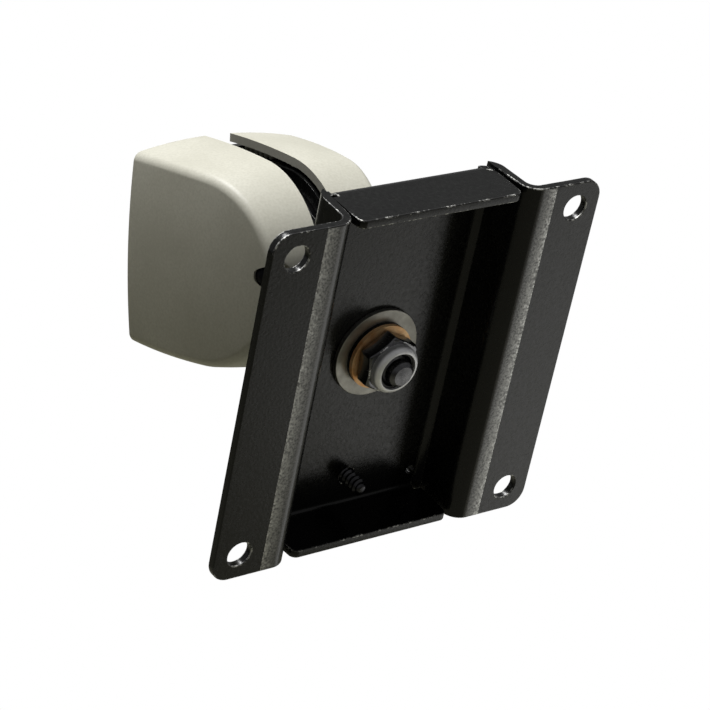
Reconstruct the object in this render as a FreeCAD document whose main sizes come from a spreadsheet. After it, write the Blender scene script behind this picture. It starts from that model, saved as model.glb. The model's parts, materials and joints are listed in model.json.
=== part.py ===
# Pivot wall mount for a flat monitor: a covered tilt hinge on the wall and a turning monitor plate.
# Frame: the wall is the plane Y = 0, +Z is up and the monitor is on the -Y side.
# The tilt axle runs along X at the height of the origin. Lengths are in millimetres.
import FreeCAD, Part
import math
import os
import Sketcher

doc = FreeCAD.newDocument("pivot_wall_mount")
dims = doc.addObject("Spreadsheet::Sheet", "dims")

sizes = {
    # pose and reach
    "rest_tilt": 16.35,              # plate leans down from level, degrees
    "rest_turn": 2.6,               # plate turned about its pivot, degrees
    "axle_offset": 24.0,            # wall to tilt axle
    "arm_reach": 38.6,              # axle to the front of the arm's head
    "cut_margin": 1.0,              # cutting forms run this far past what they cut
    # monitor plate
    "plate_width": 88.2,
    "plate_height": 87.8,
    "sheet_thickness": 2.0,
    "recess_depth": 13.2,           # flange front to panel front
    "panel_half": 22.4,             # panel centre line to the foot of a web
    "flange_root": 23.2,            # panel centre line to the top of a web
    "bend_radius": 2.5,             # inside of the folds along the webs
    "plate_corner": 4.5,
    "hole_side_edge": 6.6,          # monitor holes in from the sides; leaves 75 between them
    "hole_end_edge": 6.4,           # monitor holes in from the ends; leaves 75 between them
    "hole_diameter": 6.1,
    "lip_inset": 0.5,               # plate's end to a lip's outer face
    "lip_root": 20.2,               # half width of a lip at its bend
    "lip_half": 21.9,               # half width of a lip past its bend
    "lip_setback": 0.6,             # flange front to a lip's free edge
    "lip_bend": 1.0,
    "lip_corner": 1.8,
    "relief_width": 2.1,
    "relief_depth": 3.6,
    "hang_hole_side": 3.4,          # in from the foot of the web
    "hang_hole_end": 7.1,           # up from the plate's lower end
    "hang_hole_diameter": 2.4,
    # lock screw in the panel
    "lock_screw_end": 9.9,          # up from the plate's lower end
    "lock_screw_diameter": 4.0,
    "lock_screw_length": 8.0,
    "lock_screw_tip": 0.5,
    "lock_screw_inset": 0.2,        # back end below the panel's back face
    # tilt arm
    "arm_thickness": 4.0,
    "hub_radius": 17.5,
    "bar_root_half": 17.0,
    "bar_tip_inset": 3.0,           # bar's tip in from the head's ends
    "head_thickness": 4.0,
    "head_half": 16.0,
    "head_corner": 4.0,
    "head_shoulder": 9.0,           # tongue's side in from the head's side
    "tongue_end": 6.0,              # lock screw to the end of the tongue
    "index_hole_play": 0.2,
    # threaded parts
    "thread_diameter": 8.0,
    "thread_play": 0.04,
    "running_play": 0.05,
    "bolt_tip_diameter": 6.3,       # plain lead ahead of the thread
    "bolt_tip_length": 2.6,
    "bolt_chamfer": 0.8,
    "across_flats": 13.0,
    "hex_chamfer": 0.6,
    "hex_trim": 0.1,                # the turned chamfer bites this far into the flats
    "bolt_head_height": 5.3,
    "head_slot_play": 0.15,         # bolt head to the arm's notch
    "pivot_bolt_length": 18.5,
    "axle_tail": 1.6,               # axle bolt past its nut
    "nut_turn": 6.0,                # pivot nut's corner from upright, degrees
    "nut_hex_height": 3.9,
    "nut_height": 6.2,
    "collar_diameter": 11.8,
    "collar_chamfer": 0.8,
    "collar_lip_diameter": 9.2,
    "collar_lip_height": 0.6,
    "insert_diameter": 10.0,
    "washer_diameter": 22.0,
    "axle_washer_diameter": 16.0,
    "washer_thickness": 1.2,
    "spring_diameter": 16.0,
    "spring_thickness": 0.9,
    "spring_dish": 0.35,
    # bearings
    "bush_diameter": 10.0,
    "friction_diameter": 34.0,
    "friction_thickness": 1.0,
    "shoulder_diameter": 30.0,
    "shoulder_thickness": 1.0,
    "sleeve_inset": 0.2,
    # wall bracket
    "base_width": 42.0,
    "base_height": 44.4,
    "base_thickness": 2.5,
    "base_corner": 9.0,
    "ear_thickness": 2.5,
    "ear_radius": 21.4,
    "wall_hole_diameter": 5.5,
    "wall_pitch_across": 25.0,
    "wall_pitch_up": 29.0,
    "tab_front": 10.4,              # axle to the front of a cover tab
    "tab_thickness": 2.0,
    "tab_half_height": 7.0,
    "tab_edge": 2.4,                # cover screw to the tab's end
    # covers
    "slot_width": 7.2,
    "cover_width": 48.8,            # across both covers at the wall, mid height
    "drum_radius": 24.4,            # axle to the covers' rounded front
    "roof_radius": 211.0,           # long arc of top and bottom, back to the wall
    "roof_start": 5.25,             # where the long arc leaves the front, degrees ahead of upright
    "crown_radius": 109.0,           # sideways roundness of top, front and bottom
    "side_radius": 220.0,           # upright roundness of the sides
    "plan_radius": 143.0,           # roundness of the sides seen from above
    "plan_sweep": 60.0,             # degrees
    "cover_wall": 2.0,
    "cover_edge": 2.5,
    "cover_gap": 0.4,               # wall to the covers' back edge
    "rib_count": 6,
    "rib_pitch": 2.0,
    "rib_width": 0.9,
    "rib_length": 1.4,
    "rib_setback": 0.4,             # slot to the ribs
    "rib_foot": 21.9,               # axle up to the ribs' free ends
    "rib_back": 12.1,               # axle back to the middle rib
    # cover screws
    "cover_screw_x": 14.6,
    "cover_screw_up": 2.5,          # above the axle
    "cover_screw_diameter": 3.0,
    "cover_screw_length": 10.2,
    "cover_head_diameter": 6.0,
    "cover_head_height": 2.4,
    "cover_head_round": 1.3,
    "cover_seat": 18.2,             # axle to the seat under the head
    "seat_play": 0.5,
    "boss_wall": 1.5,
}
sharp_turn = 8.0                    # degrees; faces that turn less than this at an edge read as one
near = 1e-3

for row, (alias, number) in enumerate(sizes.items(), start=1):
    dims.set("A%d" % row, alias)
    dims.set("B%d" % row, str(number))
    dims.setAlias("B%d" % row, alias)
doc.recompute()


def size(alias):
    return float(dims.get(alias))


def new_body(label):
    body = doc.addObject("PartDesign::Body", label)
    body.Label = label
    return body


def origin_plane(body, role):
    return next(plane for plane in body.Origin.OriginFeatures if plane.Role == role)


def new_sketch(body, role, shift=None, aside=None):
    # shift moves the sketch along its plane's normal, aside along its own x
    sketch = body.newObject("Sketcher::SketchObject", "sketch")
    sketch.AttachmentSupport = [(origin_plane(body, role), "")]
    sketch.MapMode = "FlatFace"
    if shift:
        sketch.setExpression("AttachmentOffset.Base.z", shift)
    if aside:
        sketch.setExpression("AttachmentOffset.Base.x", aside)
    return sketch


def pin_point(sketch, geometry, place, x, y):
    # place: 1 start point, 3 centre
    for kind, formula in (("DistanceX", x), ("DistanceY", y)):
        index = sketch.addConstraint(Sketcher.Constraint(kind, -1, 1, geometry, place, 1.0))
        sketch.setExpression("Constraints[%d]" % index, formula)


def outline(sketch, corners):
    # a closed run of straight edges, drawn roughly round and then pinned corner by corner
    first = sketch.GeometryCount
    count = len(corners)
    turn = 2 * math.pi / count
    rough = [FreeCAD.Vector(math.cos(turn * k), math.sin(turn * k), 0) for k in range(count)]
    for k in range(count):
        sketch.addGeometry(Part.LineSegment(rough[k], rough[(k + 1) % count]))
    for k in range(count):
        following = first + (k + 1) % count
        sketch.addConstraint(Sketcher.Constraint("Coincident", first + k, 2, following, 1))
    for k, (x, y) in enumerate(corners):
        pin_point(sketch, first + k, 1, x, y)


def circle(sketch, x, y, diameter):
    index = sketch.addGeometry(Part.Circle(FreeCAD.Vector(1, 1, 0), FreeCAD.Vector(0, 0, 1), 1))
    pin_point(sketch, index, 3, x, y)
    constraint = sketch.addConstraint(Sketcher.Constraint("Diameter", index, 2.0))
    sketch.setExpression("Constraints[%d]" % constraint, diameter)


def pad(body, sketch, length, back=False, centred=False):
    feature = body.newObject("PartDesign::Pad", "pad")
    feature.Profile = sketch
    feature.Reversed = back
    if centred:
        feature.SideType = "Symmetric"
    feature.setExpression("Length", length)
    doc.recompute()
    return feature


def cut(body, sketch, length=None):
    # right through both ways, or a given length ahead of the sketch's plane
    before = body.Shape.Volume
    feature = body.newObject("PartDesign::Pocket", "cut")
    feature.Profile = sketch
    if length:
        feature.Reversed = True
        feature.setExpression("Length", length)
    else:
        feature.Type = "ThroughAll"
        feature.SideType = "Symmetric"
    doc.recompute()
    if body.Shape.Volume >= before:
        raise RuntimeError("a cut in %s takes nothing away" % body.Label)
    return feature


def revolve(body, sketch, axis="V_Axis", angle="360", both=False, groove=False):
    feature = body.newObject("PartDesign::Groove" if groove else "PartDesign::Revolution", "turn")
    feature.Profile = sketch
    feature.ReferenceAxis = (sketch, [axis])
    feature.Midplane = both
    feature.setExpression("Angle", angle)
    doc.recompute()
    return feature


def mirrored(body, role, originals):
    feature = body.newObject("PartDesign::Mirrored", "mirror")
    feature.Originals = originals
    feature.MirrorPlane = (origin_plane(body, role), [""])
    body.Tip = feature
    doc.recompute()
    return feature


def edge_names(shape, wanted):
    return ["Edge%d" % k for k, edge in enumerate(shape.Edges, start=1) if wanted(edge)]


def runs_along(edge, axis, **place):
    # a straight edge along one axis, at the given coordinates, whichever side it is on
    if not isinstance(edge.Curve, Part.Line):
        return False
    direction = edge.tangentAt(edge.FirstParameter)
    if abs(abs(getattr(direction, axis)) - 1) > near:
        return False
    middle = edge.CenterOfMass
    return all(abs(abs(getattr(middle, key)) - number) < near for key, number in place.items())


def round_edges(body, radius, wanted):
    tip = body.Tip
    names = edge_names(tip.Shape, wanted)
    if not names:
        raise RuntimeError("no edge to round on %s" % body.Label)
    feature = body.newObject("PartDesign::Fillet", "round")
    feature.Base = (tip, names)
    feature.setExpression("Radius", radius)
    doc.recompute()
    return feature


def on_axle(piece):
    # upright pieces that are drawn about the tilt axle
    piece.setExpression("Placement.Base.y", "-dims.axle_offset")


def along_axle(piece, distance, flipped=False):
    # pieces drawn along Z, laid along the axle: towards +X, or towards -X when flipped
    turn = -90 if flipped else 90
    piece.Placement = FreeCAD.Placement(FreeCAD.Vector(), FreeCAD.Rotation(FreeCAD.Vector(0, 1, 0), turn))
    piece.setExpression("Placement.Base.x", distance)
    piece.setExpression("Placement.Base.y", "-dims.axle_offset")


def along_pivot(piece, distance, turn="0", drop="0"):
    # pieces drawn with Z along the plate's normal, at a distance from the axle
    steps = ["placement(vector(0; -dims.axle_offset; 0); rotation(vector(1; 0; 0); 90 + dims.rest_tilt))",
             "placement(vector(0; 0; %s); rotation(vector(0; 0; 1); %s))" % (distance, turn),
             "placement(vector(0; -(%s); 0); rotation(0; 0; 0))" % drop]
    piece.setExpression("Placement", " * ".join(steps))


def group(label, members):
    compound = doc.addObject("Part::Compound", label)
    compound.Label = label
    compound.Links = members
    return compound


# Distances along the plate's normal, from the axle
flat_up = "30"                      # degrees that turn a hexagon's corner away and a flat upwards
lip_face = "(dims.plate_height / 2 - dims.lip_inset)"
lock_drop = "(dims.plate_height / 2 - dims.lock_screw_end)"
head_back = "dims.arm_reach - dims.head_thickness"
panel_back = "dims.arm_reach + dims.shoulder_thickness"
panel_front = panel_back + " + dims.sheet_thickness"
spring_seat = panel_front + " + dims.washer_thickness"
spring_stack = "2 * dims.spring_thickness + dims.spring_dish"
pivot_nut_seat = spring_seat + " + " + spring_stack

# Distances along the axle, from the middle of the slot
ear_inner = "dims.arm_thickness / 2 + dims.friction_thickness"
ear_outer = ear_inner + " + dims.ear_thickness"
axle_washer_end = ear_outer + " + dims.washer_thickness"
axle_nut_seat = axle_washer_end + " + " + spring_stack

bore = "(dims.thread_diameter + 2 * dims.running_play)"
tapped = "(dims.thread_diameter + 2 * dims.thread_play)"


# Monitor plate: one folded sheet, panel in the XY plane, flanges ahead of it
def fold_section(body):
    lean = "atan((dims.flange_root - dims.panel_half) / dims.recess_depth)"
    mitre = "dims.sheet_thickness * tan((90 deg - %s) / 2)" % lean
    front = "dims.recess_depth + dims.sheet_thickness"
    half = "dims.plate_width / 2"
    back_foot = "(dims.panel_half + %s)" % mitre
    back_root = "(dims.flange_root + %s)" % mitre
    right = [(back_foot, "0"), (back_root, "dims.recess_depth"), (half, "dims.recess_depth"),
             (half, front), ("dims.flange_root", front), ("dims.panel_half", "dims.sheet_thickness")]
    left = [("-(%s)" % x, y) for x, y in reversed(right)]
    section = new_sketch(body, "XZ_Plane")
    outline(section, right + left)
    pad(body, section, "dims.plate_height", centred=True)

    sheet, depth = size("sheet_thickness"), size("recess_depth")
    foot, root = size("panel_half"), size("flange_root")
    offset = sheet * math.tan((math.pi / 2 - math.atan((root - foot) / depth)) / 2)
    round_edges(body, "dims.bend_radius", lambda edge: runs_along(edge, "y", x=foot, z=sheet)
                or runs_along(edge, "y", x=root + offset, z=depth))
    round_edges(body, "dims.bend_radius + dims.sheet_thickness",
                lambda edge: runs_along(edge, "y", x=foot + offset, z=0)
                or runs_along(edge, "y", x=root, z=depth + sheet))


def fold_lips(body):
    # relief notches beside each lip, then the lip, at the top and mirrored at the bottom
    gap = "dims.lip_root + dims.relief_width"
    notch_foot = lip_face + " - dims.relief_depth"
    beyond = "dims.plate_height / 2 + dims.cut_margin"
    notch = new_sketch(body, "XY_Plane")
    outline(notch, [("-(%s)" % gap, notch_foot), ("-dims.lip_root", notch_foot),
                    ("-dims.lip_root", lip_face), ("dims.lip_root", lip_face),
                    ("dims.lip_root", notch_foot), (gap, notch_foot), (gap, beyond),
                    ("-(%s)" % gap, beyond)])
    notch_cut = cut(body, notch)
    free_edge = "dims.recess_depth + dims.sheet_thickness - dims.lip_setback"
    right = [("dims.lip_root", "0"), ("dims.lip_root", "dims.relief_depth"),
             ("dims.lip_half", "dims.relief_depth"), ("dims.lip_half", free_edge)]
    lip = new_sketch(body, "XZ_Plane", shift="-" + lip_face)
    outline(lip, right + [("-" + x, y) for x, y in reversed(right)])
    lip_pad = pad(body, lip, "dims.sheet_thickness")
    mirrored(body, "XZ_Plane", [notch_cut, lip_pad])

    sheet, face = size("sheet_thickness"), size("plate_height") / 2 - size("lip_inset")
    free = size("recess_depth") + sheet - size("lip_setback")
    round_edges(body, "dims.lip_bend", lambda edge: runs_along(edge, "x", y=face - sheet, z=sheet))
    round_edges(body, "dims.lip_bend + dims.sheet_thickness",
                lambda edge: runs_along(edge, "x", y=face, z=0))
    round_edges(body, "dims.lip_corner", lambda edge: runs_along(
        edge, "y", x=size("lip_half"), y=face - sheet / 2, z=free))


def monitor_plate():
    body = new_body("monitor_plate")
    fold_section(body)
    fold_lips(body)
    round_edges(body, "dims.plate_corner", lambda edge: runs_along(
        edge, "z", x=size("plate_width") / 2, y=size("plate_height") / 2))
    holes = new_sketch(body, "XY_Plane")
    across = "(dims.plate_width / 2 - dims.hole_side_edge)"
    up = "(dims.plate_height / 2 - dims.hole_end_edge)"
    for x in (across, "-" + across):
        for y in (up, "-" + up):
            circle(holes, x, y, "dims.hole_diameter")
    circle(holes, "0", "0", "dims.bush_diameter + 2 * dims.thread_play")
    circle(holes, "0", "-" + lock_drop, "dims.lock_screw_diameter + 2 * dims.thread_play")
    circle(holes, "dims.panel_half - dims.hang_hole_side", "dims.hang_hole_end - dims.plate_height / 2",
           "dims.hang_hole_diameter")
    cut(body, holes)
    along_pivot(body, panel_back, turn="dims.rest_turn")
    return body


# Tilt arm: a flat bar on edge, welded to an upright head with a tongue for the lock screw
def tilt_arm():
    body = new_body("tilt_arm")
    hub = new_sketch(body, "YZ_Plane")
    circle(hub, "0", "0", "2 * dims.hub_radius")
    pad(body, hub, "dims.arm_thickness", centred=True)
    bar = new_sketch(body, "YZ_Plane")
    bar_tip = "(dims.head_half - dims.bar_tip_inset)"
    outline(bar, [("-dims.bar_root_half", "0"), ("dims.bar_root_half", "0"),
                  (bar_tip, head_back), ("-" + bar_tip, head_back)])
    pad(body, bar, "dims.arm_thickness", centred=True)
    notch = new_sketch(body, "YZ_Plane")
    notch_half = "dims.across_flats / 2 + dims.head_slot_play"
    notch_back = head_back + " - dims.bolt_head_height - dims.head_slot_play"
    notch_front = head_back + " + dims.cut_margin"
    outline(notch, [("-(%s)" % notch_half, notch_back), (notch_half, notch_back),
                    (notch_half, notch_front), ("-(%s)" % notch_half, notch_front)])
    cut(body, notch)
    head = new_sketch(body, "XY_Plane", shift=head_back)
    tongue, tongue_tip = "(dims.head_half - dims.head_shoulder)", "-(%s + dims.tongue_end)" % lock_drop
    outline(head, [("-dims.head_half", "dims.head_half"), ("dims.head_half", "dims.head_half"),
                   ("dims.head_half", "-dims.head_half"), (tongue, "-dims.head_half"), (tongue, tongue_tip),
                   ("-" + tongue, tongue_tip), ("-" + tongue, "-dims.head_half"),
                   ("-dims.head_half", "-dims.head_half")])
    pad(body, head, "dims.head_thickness")
    side = size("head_half") - size("head_shoulder")
    tip = size("plate_height") / 2 - size("lock_screw_end") + size("tongue_end")
    round_edges(body, "dims.head_corner", lambda edge: runs_along(edge, "z", x=size("head_half"))
                or runs_along(edge, "z", x=side, y=tip)
                or runs_along(edge, "z", x=side, y=size("head_half")))
    axle_hole = new_sketch(body, "YZ_Plane")
    circle(axle_hole, "0", "0", "dims.bush_diameter + 2 * dims.thread_play")
    cut(body, axle_hole)
    head_holes = new_sketch(body, "XY_Plane", shift=head_back)
    circle(head_holes, "0", "0", tapped)
    circle(head_holes, "0", "-" + lock_drop, "dims.lock_screw_diameter + 2 * dims.index_hole_play")
    cut(body, head_holes, "dims.head_thickness")
    along_pivot(body, "0")
    return body


# Wall bracket: base on the wall, two ears for the axle and a tab on each ear for a cover screw
def wall_bracket():
    body = new_body("wall_bracket")
    base = new_sketch(body, "XZ_Plane")
    across, up = "dims.base_width / 2", "dims.base_height / 2"
    outline(base, [("-" + across, "-" + up), (across, "-" + up), (across, up), ("-" + across, up)])
    pad(body, base, "dims.base_thickness")
    round_edges(body, "dims.base_corner", lambda edge: runs_along(edge, "y"))
    wall_holes = new_sketch(body, "XZ_Plane")
    for x in ("dims.wall_pitch_across / 2", "-dims.wall_pitch_across / 2"):
        for y in ("dims.wall_pitch_up / 2", "-dims.wall_pitch_up / 2"):
            circle(wall_holes, x, y, "dims.wall_hole_diameter")
    cut(body, wall_holes)
    ear = new_sketch(body, "YZ_Plane", shift=ear_inner)
    outline(ear, [("0", "-dims.ear_radius"), ("0", "dims.ear_radius"),
                  ("-dims.axle_offset", "dims.ear_radius"), ("-dims.axle_offset", "-dims.ear_radius")])
    ear_pad = pad(body, ear, "dims.ear_thickness")
    ear_round = new_sketch(body, "YZ_Plane", shift=ear_inner)
    circle(ear_round, "-dims.axle_offset", "0", "2 * dims.ear_radius")
    round_pad = pad(body, ear_round, "dims.ear_thickness")
    tab_back = "dims.axle_offset + dims.tab_front - dims.tab_thickness"
    tab = new_sketch(body, "XZ_Plane", shift=tab_back)
    tab_end = "dims.cover_screw_x + dims.tab_edge"
    tall = "dims.tab_half_height"
    outline(tab, [(ear_inner, "-" + tall), (tab_end, "-" + tall), (tab_end, tall), (ear_inner, tall)])
    tab_pad = pad(body, tab, "dims.tab_thickness")
    mirrored(body, "YZ_Plane", [ear_pad, round_pad, tab_pad])
    axle_hole = new_sketch(body, "YZ_Plane")
    circle(axle_hole, "-dims.axle_offset", "0", tapped)
    cut(body, axle_hole)
    screw_holes = new_sketch(body, "XZ_Plane", shift=tab_back)
    for x in ("dims.cover_screw_x", "-dims.cover_screw_x"):
        circle(screw_holes, x, "dims.cover_screw_up", "dims.cover_screw_diameter + 2 * dims.thread_play")
    cut(body, screw_holes, "dims.tab_thickness")
    return body


# Washers, springs, bolts and nuts: drawn along Z from the face that they seat on
def turned(label, section):
    body = new_body(label)
    sketch = new_sketch(body, "XZ_Plane")
    outline(sketch, section)
    revolve(body, sketch)
    return body


def ring(label, diameter, thickness):
    inner, outer = bore + " / 2", diameter + " / 2"
    return turned(label, [(inner, "0"), (outer, "0"), (outer, thickness), (inner, thickness)])


def flat_washer(label, diameter):
    return ring(label, diameter, "dims.washer_thickness")


def disc_spring(label):
    inner, outer = bore + " / 2", "dims.spring_diameter / 2"
    return turned(label, [(inner, "dims.spring_dish"), (outer, "0"), (outer, "dims.spring_thickness"),
                          (inner, "dims.spring_dish + dims.spring_thickness")])


def hexagon(body, height, back=False):
    sketch = new_sketch(body, "XY_Plane")
    flat, corner = "dims.across_flats / 2", "dims.across_flats / sqrt(3)"
    edge = "dims.across_flats / sqrt(12)"
    outline(sketch, [("0", corner), (flat, edge), (flat, "-" + edge),
                     ("0", "-" + corner), ("-" + flat, "-" + edge), ("-" + flat, edge)])
    pad(body, sketch, height, back=back)


def trim_hexagon(body, height):
    # turned chamfer across the hexagon's corners at one end
    section = new_sketch(body, "XZ_Plane")
    flat, corner = "dims.across_flats / 2 - dims.hex_trim", "dims.across_flats / sqrt(3) + dims.hex_trim"
    inward = "-" if height.startswith("-") else ""
    outline(section, [(flat, height), (corner, height),
                      (corner, "%s - (%sdims.hex_chamfer)" % (height, inward))])
    revolve(body, section, groove=True)


def hex_bolt(label, length):
    body = new_body(label)
    hexagon(body, "dims.bolt_head_height", back=True)
    trim_hexagon(body, "-dims.bolt_head_height")
    shank = new_sketch(body, "XZ_Plane")
    radius = "dims.thread_diameter / 2"
    tip, step = "dims.bolt_tip_diameter / 2", length + " - dims.bolt_tip_length"
    outline(shank, [("0", "0"), (radius, "0"), (radius, "%s - (%s - %s)" % (step, radius, tip)), (tip, step),
                    (tip, length + " - dims.bolt_chamfer"), (tip + " - dims.bolt_chamfer", length),
                    ("0", length)])
    revolve(body, shank)
    return body


def lock_nut(label):
    body = new_body(label)
    hexagon(body, "dims.nut_hex_height")
    trim_hexagon(body, "dims.nut_hex_height")
    collar = new_sketch(body, "XZ_Plane")
    outer, inner = "dims.collar_diameter / 2", "dims.insert_diameter / 2"
    lip, top = "dims.collar_lip_diameter / 2", "dims.nut_height"
    under_lip = "dims.nut_height - dims.collar_lip_height"
    outline(collar, [(inner, "dims.nut_hex_height"), (outer, "dims.nut_hex_height"),
                     (outer, top + " - dims.collar_chamfer"), (outer + " - dims.collar_chamfer", top),
                     (lip, top), (lip, under_lip), (inner, under_lip)])
    revolve(body, collar)
    hole = new_sketch(body, "XY_Plane")
    circle(hole, "0", "0", tapped)
    cut(body, hole)
    return body


def nut_insert(label):
    inner = tapped + " / 2"
    outer = "dims.insert_diameter / 2 - dims.thread_play"
    foot, top = "dims.nut_hex_height", "dims.nut_height - dims.collar_lip_height"
    return turned(label, [(inner, foot), (outer, foot), (outer, top), (inner, top)])


def spring_pair(label, place):
    pair = []
    for count in range(2):
        spring = disc_spring("%s_%d" % (label, count + 1))
        place(spring, "%d * dims.spring_thickness" % count)
        pair.append(spring)
    return group(label, pair)


# Pieces on the pivot, in order from the arm's head to the monitor
def pivot_pieces():
    bolt = hex_bolt("pivot_bolt", "dims.pivot_bolt_length")
    along_pivot(bolt, head_back, turn=flat_up)
    inner, sleeve = bore + " / 2", "dims.bush_diameter / 2"
    rim, face = "dims.shoulder_diameter / 2", "dims.shoulder_thickness"
    sleeve_end = face + " + dims.sheet_thickness - dims.sleeve_inset"
    shoulder = turned("pivot_shoulder_washer", [(inner, "0"), (rim, "0"), (rim, face), (sleeve, face),
                                                (sleeve, sleeve_end), (inner, sleeve_end)])
    along_pivot(shoulder, "dims.arm_reach")
    washer = flat_washer("pivot_flat_washer", "dims.washer_diameter")
    along_pivot(washer, panel_front)
    springs = spring_pair("pivot_disc_springs", lambda spring, step: along_pivot(
        spring, spring_seat + " + " + step))
    nut, insert = lock_nut("pivot_lock_nut"), nut_insert("pivot_nut_insert")
    for piece in (nut, insert):
        along_pivot(piece, pivot_nut_seat, turn="dims.nut_turn")
    return [bolt, shoulder, washer, springs, nut, insert]


# Pieces on the tilt axle: bolt head on the left, nut on the right
def axle_pieces():
    length = "(%s) + (%s) + dims.nut_height + dims.axle_tail" % (axle_washer_end, axle_nut_seat)
    bolt = hex_bolt("tilt_bolt", length)
    along_axle(bolt, "-(%s)" % axle_washer_end)
    bush = ring("arm_bush", "dims.bush_diameter", "dims.arm_thickness")
    along_axle(bush, "-dims.arm_thickness / 2")
    washers, pads = [], []
    for side, sign, flipped in (("right", "", False), ("left", "-", True)):
        washer = flat_washer("tilt_flat_washer_" + side, "dims.axle_washer_diameter")
        along_axle(washer, "%s(%s)" % (sign, ear_outer), flipped)
        washers.append(washer)
        disc = ring("tilt_friction_washer_" + side, "dims.friction_diameter", "dims.friction_thickness")
        along_axle(disc, "%sdims.arm_thickness / 2" % sign, flipped)
        pads.append(disc)
    springs = spring_pair("tilt_disc_springs", lambda spring, step: along_axle(
        spring, axle_washer_end + " + " + step))
    nut, insert = lock_nut("tilt_lock_nut"), nut_insert("tilt_nut_insert")
    for piece in (nut, insert):
        along_axle(piece, axle_nut_seat)
    return [bolt, bush, group("tilt_flat_washers", washers), group("tilt_friction_washers", pads),
            springs, nut, insert]


# Lock screw: backed off, its threaded end stands out in the recess
def lock_screw():
    radius, length, tip = "dims.lock_screw_diameter / 2", "dims.lock_screw_length", "dims.lock_screw_tip"
    body = turned("lock_screw", [("0", "0"), (radius + " - " + tip, "0"), (radius, tip),
                                 (radius, length + " - " + tip), (radius + " - " + tip, length),
                                 ("0", length)])
    along_pivot(body, panel_back + " + dims.lock_screw_inset", turn="dims.rest_turn",
                drop=lock_drop)
    return body


# Cover screws: round heads at the front of the covers, threaded into the bracket's tabs
def cover_screws():
    screws = []
    for side, sign in (("right", ""), ("left", "-")):
        body = new_body("cover_screw_" + side)
        section = new_sketch(body, "XY_Plane")
        radius, head = "dims.cover_screw_diameter / 2", "dims.cover_head_diameter / 2"
        crest, end = "-dims.cover_head_height", "dims.cover_screw_length"
        outline(section, [("0", crest), (head, crest), (head, "0"), (radius, "0"), (radius, end), ("0", end)])
        revolve(body, section)
        top = -size("cover_head_height")
        round_edges(body, "dims.cover_head_round", lambda edge: isinstance(edge.Curve, Part.Circle)
                    and abs(edge.Curve.Center.y - top) < near)
        body.setExpression("Placement.Base.x", sign + "dims.cover_screw_x")
        body.setExpression("Placement.Base.y", "-dims.axle_offset - dims.cover_seat")
        body.setExpression("Placement.Base.z", "dims.cover_screw_up")
        screws.append(body)
    return group("cover_screws", screws)


# Covers: where a crowned form round the axle and a block with rounded sides overlap
def draw(sketch, edges):
    # edges drawn end to end
    count = len(edges)
    for edge in edges:
        sketch.addGeometry(edge)
    for k in range(count):
        sketch.addConstraint(Sketcher.Constraint("Coincident", k, 2, (k + 1) % count, 1))


def pin_one(sketch, kind, geometry, place, formula):
    index = sketch.addConstraint(Sketcher.Constraint(kind, -1, 1, geometry, place, 1.0))
    sketch.setExpression("Constraints[%d]" % index, formula)


def pin_arc(sketch, arc, centre_x, centre_y, radius):
    pin_point(sketch, arc, 3, centre_x, centre_y)
    index = sketch.addConstraint(Sketcher.Constraint("Radius", arc, sketch.Geometry[arc].Radius))
    sketch.setExpression("Constraints[%d]" % index, radius)


def crown_section(sketch, left, right, foot, top, inset):
    # a block from the slot to past the side, flat at its foot and crowned at its top
    low, high, reach = size("slot_width") / 2, size("cover_width") / 2, size("crown_radius")

    def crown(x):
        return FreeCAD.Vector(x, math.sqrt(reach ** 2 - x ** 2), 0)

    foot_left, foot_right = FreeCAD.Vector(low, 0, 0), FreeCAD.Vector(high, 0, 0)
    draw(sketch, [Part.LineSegment(foot_left, foot_right), Part.LineSegment(foot_right, crown(high)),
                  Part.Arc(crown(high), crown((low + high) / 2), crown(low)),
                  Part.LineSegment(crown(low), foot_left)])
    pin_point(sketch, 0, 1, left, foot)
    pin_point(sketch, 0, 2, right, foot)
    pin_arc(sketch, 2, "0", "%s - dims.crown_radius" % top, "dims.crown_radius - %s" % inset)
    pin_one(sketch, "DistanceX", 2, 1, right)
    pin_one(sketch, "DistanceX", 2, 2, left)


def crowned_form(label, inset, beyond):
    # front turned about the axle, top and bottom carried on to the wall by a long arc
    body = new_body(label)
    left, right = "dims.slot_width / 2 - %s" % beyond, "dims.cover_width / 2 + dims.cut_margin"
    front = new_sketch(body, "XY_Plane")
    front.AttachmentOffset = FreeCAD.Placement(FreeCAD.Vector(),
                                               FreeCAD.Rotation(FreeCAD.Vector(1, 0, 0), 180))
    crown_section(front, left, right, "0", "dims.drum_radius", inset)
    revolve(body, front, "H_Axis", "180 - 2 * dims.roof_start", both=True)

    swing, start = "(dims.roof_radius - dims.drum_radius)", "(dims.roof_start * 1 deg)"
    roof = new_sketch(body, "XZ_Plane", shift="-%s * sin(%s)" % (swing, start))
    roof.setExpression("AttachmentOffset.Base.y", "-%s * cos(%s)" % (swing, start))
    crown_section(roof, left, right, "%s * cos(%s) - dims.cut_margin" % (swing, start), "dims.roof_radius",
                  inset)
    roof_turn = revolve(body, roof, "H_Axis", "2 * dims.roof_start", both=True)
    mirrored(body, "XY_Plane", [roof_turn])
    return body


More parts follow.
